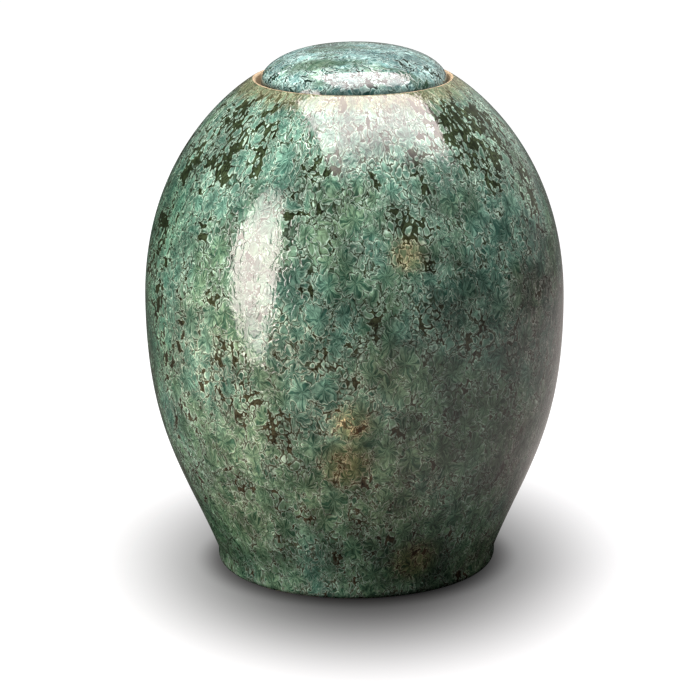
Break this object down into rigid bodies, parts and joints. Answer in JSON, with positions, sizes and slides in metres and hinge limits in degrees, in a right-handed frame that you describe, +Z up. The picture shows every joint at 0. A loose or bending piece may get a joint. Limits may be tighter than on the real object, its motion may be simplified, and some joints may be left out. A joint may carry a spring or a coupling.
{
  "type": "funeral urn",
  "caption": "Egg-shaped ceramic funeral urn, hollow, on a low foot band, with a domed lid set inside its mouth and a green crystalline glaze.",
  "frame": {"origin": "on the urn's axis, on the surface that the foot ring stands on", "axes": "+Z up the axis through the lid, -Y towards the side that the picture shows, +X to that side's right"},
  "size_m": [0.21, 0.21, 0.2642],
  "materials": {
    "vessel_glaze": "glossy green crystalline glaze over stoneware, with a bare clay lip and foot ring",
    "lid_glaze": "glossy turquoise crystalline glaze over stoneware, bare clay underneath"
  },
  "bodies": {
    "root": {"vessel": "vessel_glaze", "lid": "lid_glaze"}
  },
  "joints": []
}
